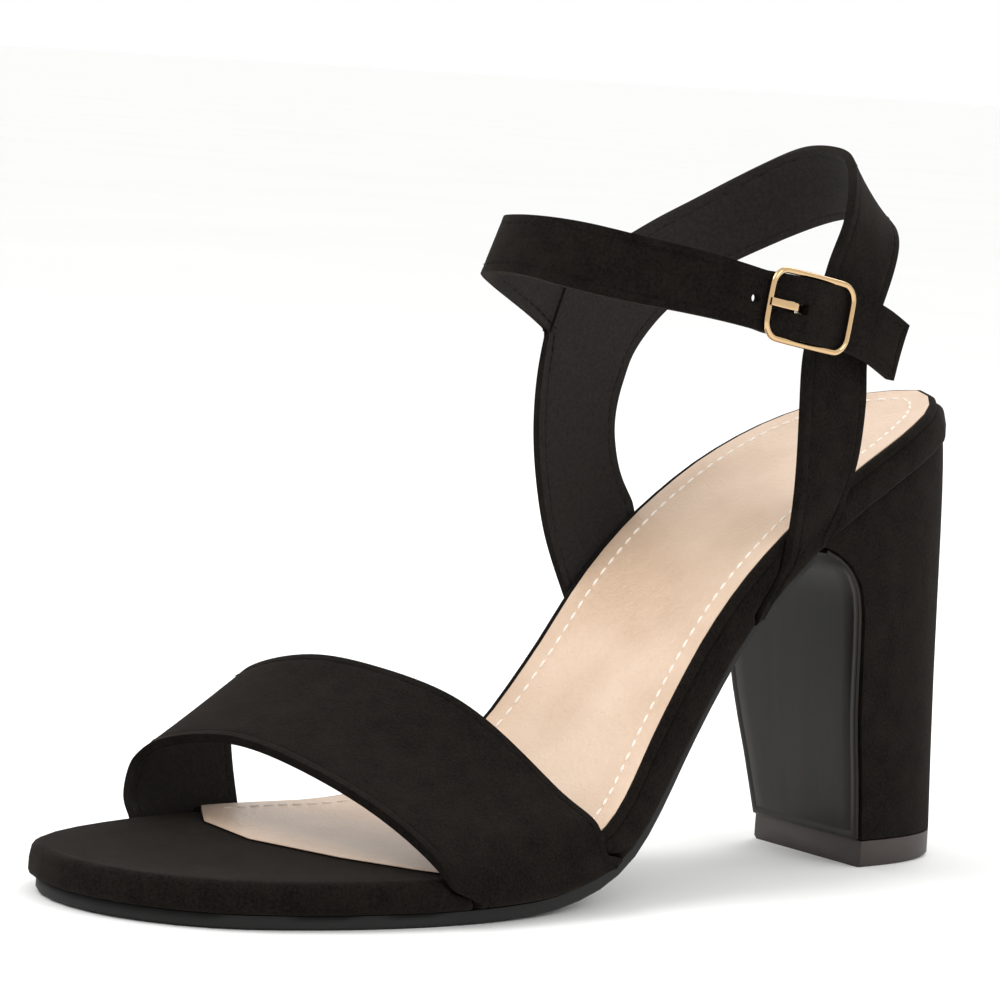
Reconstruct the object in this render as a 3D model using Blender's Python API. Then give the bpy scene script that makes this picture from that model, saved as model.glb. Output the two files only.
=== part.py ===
"""Block heel sandal, left shoe, standing on its sole.

Metres, +Z up, toe toward -Y, outer side of the foot toward +X. The origin lies on the floor under the
middle of the heel, on the top lift's lower face.
"""

import math

import bmesh
import bpy
import numpy as np

MM = 0.001

# Driving sizes of the sole. The seat's back lies this far behind the origin.
SEAT_BACK = 18 * MM
SOLE_LENGTH = 248.5 * MM
BALL_WIDTH = 85 * MM
STEEPEST_SLOPE = math.radians(51)
SOLE_THICKNESS = 9.1 * MM
OUTSOLE_THICKNESS = 2.7 * MM
WAIST_OUTSOLE_THICKNESS = 2.2 * MM
OUTSOLE_INSET = 1.8 * MM
OUTSOLE_CHAMFER = 0.5 * MM
RIM_ROUND = 2.6 * MM
LOWER_ROUND = 1.2 * MM
FOOTBED_DISH = 0.9 * MM
SOCK_THICKNESS = 1.0 * MM
SOCK_INSET = 2.7 * MM

# Driving sizes of the heel.
SEAT_INSET = 1.2 * MM
BREAST_PLACE = 56 * MM
HEEL_BASE_WIDTH = 36 * MM
HEEL_BASE_LENGTH = 31.3 * MM
HEEL_BASE_FORWARD = 3.2 * MM
HEEL_BASE_SIDEWAYS = 3.2 * MM
HEEL_BASE_ROUND = 0.85
BREAST_TURN = 4 * MM
FLARE_DEPTH = 9.2 * MM
FLARE_FADE = 1.6
BREAST_THICKNESS = 1.0 * MM
BREAST_MARGIN = 0.5 * MM
TOP_LIFT_THICKNESS = 5.5 * MM
TOP_LIFT_CHAMFER = 0.7 * MM

# Driving sizes of the straps.
STRAP_WALL = 1.9 * MM
TUCK_REACH = 6 * MM
STRAP_PROUD = 1.2 * MM
TUCK_FLUSH = 0.1 * MM
POCKET_OPENING = 1.5 * MM
POCKET_TOP = 1.3
SLANT_ROOM = 2.8
POCKET_GAP = 0.4 * MM
FOOT_SHARES = (0.6, 0.92)
VAMP_RISE = 44 * MM
ANKLE_WIDTH = 60 * MM
ANKLE_REACH = 120 * MM
UPPER_RISE = 50 * MM
ANKLE_STRAP_WIDTH = 11.8 * MM

# Driving sizes of the buckle.
BUCKLE_LENGTH = 24 * MM
BUCKLE_WIRE = 1.4 * MM
BUCKLE_CORNER = 3.6 * MM
BUCKLE_TILT = math.radians(9.5)
BAR_DIAMETER = 1.0 * MM
BAR_PLAY = 0.25 * MM
BAR_BEND = 0.6 * MM
PRONG_WIDTH = 1.6 * MM
PRONG_THICKNESS = 0.7 * MM
SLOT_LENGTH = 4.6 * MM
SLOT_PLACE = -3.9 * MM
TAB_WIDTH = 9 * MM
TAB_LENGTH = 14 * MM
TAB_THICKNESS = 0.8 * MM
HOLE_DIAMETER = 2.0 * MM
HOLE_STEP = 10 * MM
TIP_LEAN = 2.2 * MM
TIP_DROP = 3.2 * MM
TIP_TURN = math.radians(9)

GAP = 0.3 * MM
MERGE = 0.001 * MM
EDGE_STEPS = 960
PROFILE_STEPS = 1200
RUNGS = 34
ROW_STEPS = 2
ACROSS = (0, 0.12, 0.35, 0.65, 0.88, 1)
BAND_STEPS = 4

# Slope of the underside from the heel's back to the toe, as a share of the steepest slope.
SLOPES = (
    # along, slope
    (0.000, 0.35),
    (0.118, 0.45),
    (0.245, 0.65),
    (0.373, 0.98),
    (0.471, 1.00),
    (0.550, 0.69),
    (0.619, 0.27),
    (0.687, 0.04),
    (0.786, 0.00),
    (0.885, 0.00),
    (1.000, -0.02),
)

# Edge of the footbed from the middle of the heel's back, round the outer side to the toe and back.
OUTLINE = (
    # along the sole, across as a share of the ball's width
    (0.000, 0.005),
    (0.012, 0.085),
    (0.039, 0.158),
    (0.083, 0.215),
    (0.162, 0.262),
    (0.241, 0.283),
    (0.324, 0.304),
    (0.403, 0.330),
    (0.481, 0.371),
    (0.565, 0.439),
    (0.643, 0.476),
    (0.725, 0.494),
    (0.805, 0.470),
    (0.885, 0.400),
    (0.938, 0.318),
    (0.974, 0.206),
    (0.995, 0.076),
    (1.000, -0.059),
    (0.990, -0.194),
    (0.962, -0.312),
    (0.913, -0.396),
    (0.857, -0.447),
    (0.805, -0.475),
    (0.725, -0.475),
    (0.643, -0.406),
    (0.565, -0.313),
    (0.481, -0.258),
    (0.403, -0.248),
    (0.324, -0.268),
    (0.241, -0.287),
    (0.162, -0.293),
    (0.083, -0.258),
    (0.039, -0.195),
    (0.012, -0.103),
)

# Front edge of the sock lining: its ends on both sides and how far its middle runs ahead.
SOCK_FRONT = (
    # across from the outer to the inner side, along the sole
    (0.00, 0.756),
    (0.12, 0.766),
    (0.35, 0.783),
    (0.65, 0.800),
    (0.88, 0.790),
    (1.00, 0.765),
)

# The heel's front stands back from a straight line between its base and the waist.
HEEL_FLARE = (
    # share of the height, share of the flare's depth
    (0.00, 0.00),
    (0.20, 0.24),
    (0.40, 0.44),
    (0.60, 0.74),
    (0.76, 0.98),
    (0.86, 1.00),
    (0.93, 0.78),
    (0.97, 0.45),
    (1.00, 0.00),
)

# Where each strap's end crosses the footbed: front and back edge, at its top and at its underside.
FEET = {
    # top front, top back, low front, low back, as shares of the sole's length
    "vamp outer": (0.773, 0.600, 0.742, 0.579),
    "vamp inner": (0.829, 0.722, 0.823, 0.716),
    "rear outer": (0.266, 0.198, 0.328, 0.232),
    "rear inner": (0.350, 0.257, 0.363, 0.280),
}

# Vamp strap over the toes, from the outer side to the inner side.
VAMP = (
    # front edge and back edge, each (share of the ball's width, of the sole's plan length, of the rise)
    ((0.488, 0.752, 0.28), (0.452, 0.565, 0.40)),
    ((0.400, 0.763, 0.40), (0.365, 0.576, 0.49)),
    ((0.235, 0.772, 0.52), (0.235, 0.593, 0.68)),
    ((0.000, 0.782, 0.62), (0.071, 0.613, 0.86)),
    ((-0.195, 0.790, 0.65), (-0.141, 0.639, 0.94)),
    ((-0.380, 0.802, 0.58), (-0.310, 0.661, 0.955)),
    ((-0.450, 0.807, 0.50), (-0.460, 0.681, 0.87)),
    ((-0.485, 0.808, 0.42), (-0.510, 0.688, 0.76)),
    ((-0.497, 0.809, 0.28), (-0.525, 0.691, 0.55)),
)

# Outer quarter, strap round the back of the ankle and inner quarter.
REAR = (
    # front edge and back edge, each (share of half the ankle's width, of its reach, of the rise)
    ((0.89, 0.535, -0.35), (0.87, 0.400, -0.23)),
    ((0.93, 0.547, -0.03), (0.91, 0.404, 0.01)),
    ((0.94, 0.551, 0.21), (0.92, 0.412, 0.18)),
    ((0.93, 0.521, 0.41), (0.86, 0.375, 0.34)),
    ((0.88, 0.487, 0.58), (0.75, 0.321, 0.50)),
    ((0.82, 0.443, 0.73), (0.62, 0.275, 0.64)),
    ((0.63, 0.390, 0.88), (0.38, 0.233, 0.72)),
    ((0.33, 0.329, 0.99), (0.10, 0.208, 0.75)),
    ((0.00, 0.296, 1.02), (-0.20, 0.205, 0.74)),
    ((-0.33, 0.287, 1.01), (-0.50, 0.218, 0.68)),
    ((-0.63, 0.296, 0.94), (-0.75, 0.258, 0.59)),
    ((-0.85, 0.333, 0.85), (-0.93, 0.321, 0.49)),
    ((-0.97, 0.400, 0.75), (-1.00, 0.371, 0.41)),
    ((-1.02, 0.467, 0.67), (-1.02, 0.417, 0.33)),
    ((-1.03, 0.533, 0.59), (-1.03, 0.458, 0.25)),
    ((-1.03, 0.608, 0.51), (-1.02, 0.496, 0.16)),
    ((-1.03, 0.665, 0.47), (-1.01, 0.521, 0.08)),
    ((-1.03, 0.686, 0.33), (-0.99, 0.537, 0.00)),
    ((-1.02, 0.708, 0.19), (-0.98, 0.550, -0.09)),
    ((-1.00, 0.724, -0.01), (-0.97, 0.557, -0.21)),
    ((-0.97, 0.730, -0.23), (-0.94, 0.552, -0.34)),
    ((-0.92, 0.725, -0.45), (-0.92, 0.537, -0.44)),
    ((-0.87, 0.708, -0.67), (-0.88, 0.521, -0.52)),
)
# Rows of the table above between which the ankle strap is joined on.
JOIN_TOP = 16
JOIN_LOW = 18

# Ankle strap from the inner quarter round the front of the ankle.
ANKLE = (
    # top edge and lower edge, in the shares of the table above
    ((-1.00, 0.730, 0.53), (-1.00, 0.762, 0.27)),
    ((-0.92, 0.805, 0.60), (-0.95, 0.830, 0.35)),
    ((-0.73, 0.880, 0.66), (-0.80, 0.905, 0.42)),
    ((-0.43, 0.928, 0.68), (-0.50, 0.960, 0.45)),
    ((-0.07, 0.947, 0.69), (-0.08, 0.979, 0.46)),
    ((0.30, 0.933, 0.68), (0.32, 0.963, 0.43)),
    ((0.60, 0.886, 0.65), (0.63, 0.908, 0.39)),
    ((0.85, 0.813, 0.61), (0.87, 0.830, 0.36)),
    ((0.98, 0.742, 0.57), (0.99, 0.758, 0.33)),
)

# The buckle's middle bar lies here, in the same shares.
BUCKLE_PLACE = (0.593, 0.378)
QUARTER_FACE = 0.94

# Ankle strap through the buckle to its tip.
BUCKLE_RUN = (
    # share of the buckle's length from the bar, share of the lift over it, share of the tip's lean
    (-0.56, 0.00, 0.00),
    (-0.42, 0.02, 0.00),
    (-0.20, 0.70, 0.00),
    (0.00, 1.00, 0.00),
    (0.20, 0.70, 0.00),
    (0.42, 0.02, 0.00),
    (0.56, 0.00, 0.00),
    (0.92, 0.00, 0.30),
    (1.28, 0.00, 1.00),
)

def hermite(knots, values, at):
    """Smooth curve through rows of values. Each slope is that of the arc through the row's neighbours."""
    knots = np.asarray(knots, float)
    values = np.asarray(values, float)
    steps = np.diff(knots)
    rates = (np.diff(values, axis=0).T / steps).T
    slopes = np.empty_like(values)
    slopes[0] = rates[0]
    slopes[-1] = rates[-1]
    before = (rates[:-1].T * steps[1:]).T
    after = (rates[1:].T * steps[:-1]).T
    slopes[1:-1] = ((before + after).T / (steps[1:] + steps[:-1])).T
    at = np.asarray(at, float)
    row = np.clip(np.searchsorted(knots, at, side="right") - 1, 0, len(steps) - 1)
    length = steps[row]
    share = (at - knots[row]) / length
    parts = (
        (2 * share**3 - 3 * share**2 + 1, values[row]),
        ((share**3 - 2 * share**2 + share) * length, slopes[row]),
        (3 * share**2 - 2 * share**3, values[row + 1]),
        ((share**3 - share**2) * length, slopes[row + 1]),
    )
    return sum((weight * value.T).T for weight, value in parts)


def run_lengths(points):
    """Length along a line of points up to each of them."""
    steps = np.linalg.norm(np.diff(points, axis=0), axis=-1)
    return np.concatenate([[0], np.cumsum(steps)])


def smooth_step(low, high, at):
    share = np.clip((np.asarray(at, float) - low) / (high - low), 0, 1)
    return share * share * (3 - 2 * share)


def make_profile():
    """Places, heights and slopes of the underside's middle line: a chain of arcs and one flat."""
    along = np.linspace(-0.05 * SOLE_LENGTH, 1.05 * SOLE_LENGTH, PROFILE_STEPS)
    slopes = np.array(SLOPES)
    angle = np.interp(along / SOLE_LENGTH, slopes[:, 0], slopes[:, 1] * STEEPEST_SLOPE)
    step = along[1] - along[0]
    middle = (angle[1:] + angle[:-1]) / 2
    forward = np.concatenate([[0], np.cumsum(np.cos(middle)) * step])
    height = -np.concatenate([[0], np.cumsum(np.sin(middle)) * step])
    forward -= np.interp(0, along, forward)
    height -= height[(along > 0) & (along < SOLE_LENGTH)].min()
    return along, forward, height, angle


PROFILE = make_profile()
PLAN_LENGTH = float(np.interp(SOLE_LENGTH, PROFILE[0], PROFILE[1]))
SEAT_TOP = float(np.interp(0, PROFILE[0], PROFILE[2])) + SOLE_THICKNESS * math.cos(
    SLOPES[0][1] * STEEPEST_SLOPE
)


def sole_place(across, along, up):
    """Point of the shoe from its place across and along the sole and its height over the underside."""
    angle = np.interp(along, PROFILE[0], PROFILE[3])
    forward = np.interp(along, PROFILE[0], PROFILE[1]) + np.sin(angle) * up
    height = np.interp(along, PROFILE[0], PROFILE[2]) + np.cos(angle) * up
    return np.stack(np.broadcast_arrays(across, SEAT_BACK - forward, height), axis=-1)


def make_edge():
    """Edge of the footbed, finely spaced, with the direction out of it, from the heel round the outer side."""
    rows = np.array(OUTLINE)
    points = np.stack([rows[:, 1] * BALL_WIDTH, rows[:, 0] * SOLE_LENGTH], axis=1)
    count = len(points)
    looped = np.concatenate([points[-2:], points, points[:3]])
    knots = run_lengths(looped)
    fine = hermite(knots, looped, np.linspace(knots[2], knots[2 + count], EDGE_STEPS + 1))
    toe = int(np.argmax(fine[:, 1]))
    heel = int(np.argmin(fine[:-1, 1]))
    fine = np.roll(fine[:-1], -heel, axis=0)
    toe = (toe - heel) % EDGE_STEPS
    forward = np.roll(fine, -1, axis=0) - np.roll(fine, 1, axis=0)
    forward /= np.linalg.norm(forward, axis=1)[:, None]
    return fine, np.stack([forward[:, 1], -forward[:, 0]], axis=1), toe


EDGE, OUTWARD, TOE = make_edge()


def edge_line(side, inset, start=None, end=None, steps=RUNGS):
    """Evenly spaced edge points of the outer (1) or inner (-1) side between two places along the sole."""
    plan = EDGE - OUTWARD * inset
    if side > 0:
        line = plan[: TOE + 1]
    else:
        line = np.concatenate([plan[TOE:], plan[:1]])[::-1]
    run = run_lengths(line)
    first = run[0] if start is None else np.interp(start, line[:, 1], run)
    last = run[-1] if end is None else np.interp(end, line[:, 1], run)
    stops = np.linspace(first, last, steps + 1)
    return np.stack([np.interp(stops, run, line[:, i]) for i in range(2)], axis=1)


def edge_across(along, side):
    """Distance of the footbed's edge from the middle line."""
    line = edge_line(side, 0, steps=EDGE_STEPS)
    return np.interp(along, line[:, 1], line[:, 0])


def plan_grid(inset, start=None, ends=(None, None), steps=RUNGS):
    """Rows of points across the sole between its outer and inner edges, from back to front."""
    outer = edge_line(1, inset, start, ends[0], steps)
    inner = edge_line(-1, inset, start, ends[1], steps)
    shares = np.array(ACROSS)[None, :, None]
    return outer[:, None] * (1 - shares) + inner[:, None] * shares


def on_sole(plan, up):
    height = up(plan[..., 1]) if callable(up) else up
    return sole_place(plan[..., 0], plan[..., 1], height)


def outsole_top(along):
    """Height of the outsole's upper face, thin through the waist and full under the ball."""
    share = smooth_step(0.40 * SOLE_LENGTH, 0.56 * SOLE_LENGTH, along)
    return WAIST_OUTSOLE_THICKNESS + (OUTSOLE_THICKNESS - WAIST_OUTSOLE_THICKNESS) * share


def footbed_bottom(along):
    """Height of the footbed's underside, on the outsole and behind it on the heel's seat."""
    return GAP + outsole_top(along)


def principled(name, colour, roughness, metallic=0.0):
    material = bpy.data.materials.new(name)
    material.use_nodes = True
    shader = material.node_tree.nodes["Principled BSDF"]
    shader.inputs["Base Color"].default_value = (*colour, 1)
    shader.inputs["Roughness"].default_value = roughness
    shader.inputs["Metallic"].default_value = metallic
    return material


def add_object(name, points, faces, material=None):
    """One object from points and faces. Points that meet are joined, and a closed skin faces outward."""
    made = bmesh.new()
    corners = [made.verts.new(point) for point in np.asarray(points, float)]
    for face in faces:
        made.faces.new([corners[i] for i in face])
    bmesh.ops.remove_doubles(made, verts=made.verts, dist=MERGE)
    bmesh.ops.dissolve_degenerate(made, edges=made.edges, dist=MERGE)
    bmesh.ops.recalc_face_normals(made, faces=made.faces)
    mesh = bpy.data.meshes.new(name)
    made.to_mesh(mesh)
    made.free()
    if material:
        mesh.materials.append(material)
    mesh.shade_smooth()
    mesh.set_sharp_from_angle(angle=math.radians(40))
    added = bpy.data.objects.new(name, mesh)
    bpy.context.scene.collection.objects.link(added)
    return added


def as_cutter(added):
    added.hide_render = True
    added.display_type = "WIRE"
    return added


def boolean(target, other, operation):
    modifier = target.modifiers.new(other.name, "BOOLEAN")
    modifier.operation = operation
    modifier.object = other


def index_grid(shape, start=0):
    return np.arange(start, start + shape[0] * shape[1]).reshape(shape[:2])


def grid_faces(index):
    """Faces of a grid of point numbers, seen from the side where its columns turn onto its rows."""
    return [
        tuple(int(i) for i in (a[j], a[j + 1], b[j + 1], b[j]))
        for a, b in zip(index[:-1], index[1:])
        for j in range(len(a) - 1)
    ]


def perimeter(index):
    return np.concatenate([index[:-1, 0], index[-1, :-1], index[:0:-1, -1], index[0, :0:-1]])


def stacked(levels):
    """Closed skin through grids stacked bottom to top: the end grids are its caps, their rims its walls."""
    size = levels[0].shape[0] * levels[0].shape[1]
    index = index_grid(levels[0].shape)
    points = np.concatenate([level.reshape(-1, 3) for level in levels])
    faces = grid_faces(index) + grid_faces(index + (len(levels) - 1) * size)
    rim = [int(i) for i in perimeter(index)]
    for low in range(0, (len(levels) - 1) * size, size):
        for first, second in zip(rim, rim[1:] + rim[:1]):
            faces.append((low + first, low + second, low + size + second, low + size + first))
    used = sorted({i for face in faces for i in face})
    place = {old: new for new, old in enumerate(used)}
    return points[used], [tuple(place[i] for i in face) for face in faces]


def shell(outer, inner, faces):
    """Closed skin between two sheets with the same faces: walls close it along their open edges."""
    count = len(outer)
    edges = {pair for face in faces for pair in zip(face, face[1:] + face[:1])}
    rim = sorted((a, b) for a, b in edges if (b, a) not in edges)
    walls = [(b, a, a + count, b + count) for a, b in rim]
    inside = [tuple(i + count for i in face[::-1]) for face in faces]
    return np.concatenate([outer, inner]), faces + inside + walls


def facings(grid):
    """Direction square to a grid of points, on the side that its faces are seen from."""
    beside = np.gradient(grid, axis=1)
    ahead = np.gradient(grid, axis=0)
    out = np.cross(beside, ahead)
    return out / np.linalg.norm(out, axis=-1)[..., None]


def make_footbed(material):
    """Board and foam wrapped in cloth: rounded rim, dished top."""
    levels = []
    for turn in (0, 45, 90):
        plan = plan_grid(LOWER_ROUND * (1 - math.sin(math.radians(turn))))
        rise = LOWER_ROUND * (1 - math.cos(math.radians(turn)))
        levels.append(on_sole(plan, footbed_bottom(plan[..., 1]) + rise))
    for turn in (0, 22, 45, 68, 90):
        plan = plan_grid(RIM_ROUND * (1 - math.cos(math.radians(turn))))
        drop = RIM_ROUND * (1 - math.sin(math.radians(turn)))
        levels.append(on_sole(plan, SOLE_THICKNESS - drop))
    top = plan_grid(RIM_ROUND)
    levels[-1] = sole_place(top[..., 0], top[..., 1], SOLE_THICKNESS - dish(top))
    return add_object("footbed", *stacked(levels), material)


def dish(plan):
    """Depth of the hollow in the footbed's top, deepest along the middle."""
    shares = np.array(ACROSS)[None, :]
    width = np.linalg.norm(plan[:, 0] - plan[:, -1], axis=-1)[:, None]
    return FOOTBED_DISH * 4 * shares * (1 - shares) * np.clip(width / (0.4 * BALL_WIDTH), 0, 1)


def make_outsole(material):
    """Thin sole from the heel's front to the toe."""
    start = BREAST_PLACE + BREAST_THICKNESS + 4 * GAP
    inset = OUTSOLE_INSET
    levels = [
        on_sole(plan_grid(inset + OUTSOLE_CHAMFER, start), 0),
        on_sole(plan_grid(inset, start), OUTSOLE_CHAMFER),
        on_sole(plan_grid(inset, start), outsole_top),
    ]
    return add_object("outsole", *stacked(levels), material)


def make_insole(material):
    """Sock lining on the footbed. Its front edge bows ahead before the toes."""
    fronts = np.array(SOCK_FRONT)
    ends = (fronts[0, 1] * SOLE_LENGTH, fronts[-1, 1] * SOLE_LENGTH)
    plan = plan_grid(SOCK_INSET, ends=ends)
    straight = plan[-1, :, 1]
    bow = fronts[:, 1] * SOLE_LENGTH - straight
    share = smooth_step(0.5 * SOLE_LENGTH, 0.78 * SOLE_LENGTH, plan[..., 1])
    plan[..., 1] += bow[None, :] * share
    base = SOLE_THICKNESS + GAP - dish(plan)
    levels = [
        sole_place(plan[..., 0], plan[..., 1], base),
        sole_place(plan[..., 0], plan[..., 1], base + SOCK_THICKNESS),
    ]
    return add_object("insole", *stacked(levels), material)


def heel_level(share, sink=0.0):
    """Grid across the heel at a share of its height, its outer and inner edges drawn in by a margin."""
    shares = np.array(ACROSS)
    top = np.stack([edge_line(side, SEAT_INSET + sink, None, BREAST_PLACE)[::-1] for side in (1, -1)])
    top = sole_place(top[..., 0], top[..., 1], WAIST_OUTSOLE_THICKNESS)
    turn = np.linspace(0, math.pi / 2, RUNGS + 1)
    half_width = HEEL_BASE_WIDTH / 2 - sink
    length = HEEL_BASE_LENGTH - sink
    front = SEAT_BACK - HEEL_BASE_FORWARD - HEEL_BASE_LENGTH
    medial_turn = BREAST_TURN * (1 - turn / turn[-1])
    base = np.stack([
        np.stack([
            HEEL_BASE_SIDEWAYS + side * half_width * np.cos(turn) ** HEEL_BASE_ROUND,
            front + length * np.sin(turn) ** HEEL_BASE_ROUND + (1 - side) / 2 * medial_turn,
            np.full_like(turn, TOP_LIFT_THICKNESS + GAP),
        ], axis=-1)
        for side in (1, -1)
    ])
    edges = base * (1 - share) + top * share
    flare = np.array(HEEL_FLARE)
    back = hermite(flare[:, 0], flare[:, 1], share) * FLARE_DEPTH
    edges[..., 1] += back * (1 - np.linspace(0, 1, RUNGS + 1)) ** FLARE_FADE
    weights = shares[None, :, None]
    return edges[0][:, None] * (1 - weights) + edges[1][:, None] * weights


def make_heel(material):
    """Wrapped block: flat front, round back, flaring forward under the waist."""
    shares = [0.0] + [row[0] for row in HEEL_FLARE[1:-1]] + [1.0]
    levels = [heel_level(share) for share in shares]
    return add_object("heel", *stacked(levels), material)


def make_heel_breast(material):
    """Panel on the heel's front, drawn in from its corners."""
    shares = np.concatenate([np.linspace(0, 0.76, 8), np.linspace(0.82, 0.99, 7)])
    rows = np.stack([heel_level(share, 0)[0] for share in shares])
    width = np.linalg.norm(rows[:, 0] - rows[:, -1], axis=-1)
    margin = (BREAST_MARGIN / width)[:, None, None]
    inner = rows[:, :1] + (rows[:, -1:] - rows[:, :1]) * (
        margin + (1 - 2 * margin) * np.array(ACROSS)[None, :, None]
    )
    out = facings(inner)
    sheets = (inner + out * reach for reach in (-GAP - BREAST_THICKNESS, -GAP))
    back, front = (sheet.reshape(-1, 3) for sheet in sheets)
    return add_object("heel_breast", *shell(front, back, grid_faces(index_grid(inner.shape))), material)


def make_top_lift(material):
    """Plate under the heel, with its lower edge broken."""
    levels = []
    for sink, height in (
        (TOP_LIFT_CHAMFER, 0),
        (0, TOP_LIFT_CHAMFER),
        (0, TOP_LIFT_THICKNESS),
    ):
        level = heel_level(0, sink)
        level[..., 2] = height
        levels.append(level)
    return add_object("top_lift", *stacked(levels), material)


def foot_section(clear=0.0, opened=0.0, shares=FOOT_SHARES):
    """Section of a strap's end: flat under the footbed, round its lower edge and up its side.

    Each row holds its outer point and its inner point, both as the place out from the footbed's edge, the
    height over the footbed's underside and the height that the slant follows. A share of the footbed's
    thickness, its last value, is added to all heights.
    """
    sink = STRAP_WALL - STRAP_PROUD
    bend = TUCK_FLUSH + STRAP_WALL
    corner = (-sink - clear, bend + clear, bend)
    rows = []
    for reach in (TUCK_REACH + clear, TUCK_REACH / 2):
        outer = (-reach, TUCK_FLUSH - opened, TUCK_FLUSH)
        rows.append((outer, (-reach, bend + clear, TUCK_FLUSH), 0))
    for turn in (-90, -60, -30, 0):
        cosine = math.cos(math.radians(turn))
        sine = math.sin(math.radians(turn))
        radius = STRAP_WALL + opened
        outer = (radius * cosine - sink, bend + radius * sine, bend + STRAP_WALL * sine)
        rows.append((outer, corner, 0))
    for share in shares:
        rows.append(((STRAP_PROUD + opened, 0, 0), (-sink - clear, 0, 0), share))
    return rows


def foot_row(foot, side, point, share, clear):
    """Row of a strap's end from its front edge to its back edge, through one point of its section."""
    top_front, top_back, low_front, low_back = (part * SOLE_LENGTH for part in FEET[foot])
    out, up, level = point
    rise = smooth_step(0, 0.9, level / SOLE_THICKNESS + share)
    front = low_front + (top_front - low_front) * rise + SLANT_ROOM * clear
    back = low_back + (top_back - low_back) * rise - SLANT_ROOM * clear
    along = np.linspace(front, back, BAND_STEPS + 1)
    under = footbed_bottom(along)
    height = under + (SOLE_THICKNESS - under) * share + up
    return sole_place(edge_across(along, side) + side * out, along, height)


def foot_rows(foot, side, clear=0.0, opened=0.0, shares=FOOT_SHARES):
    """Outer and inner rows of a strap's end, from under the footbed up its side."""
    section = foot_section(clear, opened, shares)
    return tuple(
        np.array([foot_row(foot, side, row[skin], row[-1], clear) for row in section])
        for skin in (0, 1)
    )


def straight_row(front, back, columns=BAND_STEPS):
    shares = np.linspace(0, 1, columns + 1)[:, None]
    return np.asarray(front) * (1 - shares) + np.asarray(back) * shares


def free_rows(table, sizes, base=0.0, columns=BAND_STEPS):
    """Rows of a strap above the sole, from shares of the sizes and the height that they start from."""
    rows = []
    for row in table:
        front, back = (np.array((0, SEAT_BACK, base)) + np.array(sizes) * point for point in row)
        rows.append(straight_row(front, back, columns))
    return rows


def band_grid(rows):
    """Grid of points on a band, smooth from row to row."""
    rows = np.array(rows)
    last = len(rows) - 1
    return hermite(np.arange(last + 1), rows, np.linspace(0, last, ROW_STEPS * last + 1))


def strap_sheets(feet, middle):
    """Outer and inner sheet of a strap: its outer foot, its rows over the foot and its inner foot."""
    outer_foot, inner_foot = (foot_rows(foot, side) for foot, side in zip(feet, (1, -1)))
    arch = band_grid([*outer_foot[0][-2:], *middle, *inner_foot[0][:-3:-1]])
    lining = arch - facings(arch) * STRAP_WALL
    outer = np.concatenate([outer_foot[0][:-2], arch, inner_foot[0][-3::-1]])
    inner = np.concatenate([outer_foot[1][:-2], lining, inner_foot[1][-3::-1]])
    return outer, inner


def ankle_rows(table, columns=BAND_STEPS):
    sizes = (ANKLE_WIDTH / 2, -ANKLE_REACH, UPPER_RISE)
    return free_rows(table, sizes, SEAT_TOP, columns)


# Stack of the buckle over the outer quarter, outward from the quarter's face.
FACE = QUARTER_FACE * ANKLE_WIDTH / 2
BAR_LOOP = BAR_DIAMETER / 2 + BAR_PLAY + max(PRONG_THICKNESS, TAB_THICKNESS)
BAR_OUT = FACE + 2 * GAP + BAR_LOOP
STRAP_LOW = FACE + 2 * GAP + TAB_THICKNESS + GAP + STRAP_WALL
STRAP_HIGH = BAR_OUT + BAR_LOOP + GAP + STRAP_WALL
FRAME_OUT = STRAP_LOW + GAP + BUCKLE_WIRE / 2
BUCKLE_WIDTH = ANKLE_STRAP_WIDTH + 2 * GAP + 2 * BUCKLE_WIRE


def buckle_place(along, up, out):
    """Point near the buckle: along the strap from the middle bar, up across the strap, and outward."""
    middle_y = SEAT_BACK - BUCKLE_PLACE[0] * ANKLE_REACH
    middle_z = SEAT_TOP + BUCKLE_PLACE[1] * UPPER_RISE
    cosine = math.cos(BUCKLE_TILT)
    sine = math.sin(BUCKLE_TILT)
    along, up, out = np.broadcast_arrays(along, up, out)
    y = middle_y + along * cosine + up * sine
    z = middle_z - along * sine + up * cosine
    return np.stack([out, y, z], axis=-1)


def strap_run(columns):
    """Rows of the ankle strap through the buckle and on to its tip, from its top edge down."""
    rows = []
    half = ANKLE_STRAP_WIDTH / 2
    for along, lift, lean in BUCKLE_RUN:
        out = STRAP_LOW + (STRAP_HIGH - STRAP_LOW) * lift - TIP_LEAN * lean
        turn = TIP_TURN * lean
        top, low = (
            buckle_place(
                along * BUCKLE_LENGTH + way * half * math.sin(turn),
                way * half * math.cos(turn) - TIP_DROP * lean,
                out,
            )
            for way in (1, -1)
        )
        rows.append(straight_row(top, low, columns))
    return rows


def make_upper(material):
    """Quarters, back strap and ankle strap. The ankle strap's first row lies on the inner quarter's edge."""
    rear_outer, rear_inner = strap_sheets(("rear outer", "rear inner"), ankle_rows(REAR))
    foot_count = len(foot_section()) - 2
    first = foot_count + (2 + JOIN_TOP) * ROW_STEPS
    last = foot_count + (2 + JOIN_LOW) * ROW_STEPS
    columns = last - first
    seam = rear_outer[first : last + 1, 0]
    strap_outer = band_grid([seam] + ankle_rows(ANKLE, columns) + strap_run(columns))
    strap_inner = strap_outer - facings(strap_outer) * STRAP_WALL
    rear_index = index_grid(rear_outer.shape)
    strap_index = index_grid(strap_outer[1:].shape, rear_index.size)
    strap_index = np.concatenate([rear_index[None, first : last + 1, 0], strap_index])
    faces = grid_faces(rear_index) + grid_faces(strap_index)
    outer, inner = (
        np.concatenate([rear.reshape(-1, 3), strap[1:].reshape(-1, 3)])
        for rear, strap in ((rear_outer, strap_outer), (rear_inner, strap_inner))
    )
    return add_object("ankle_upper", *shell(outer, inner, faces), material)


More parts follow.
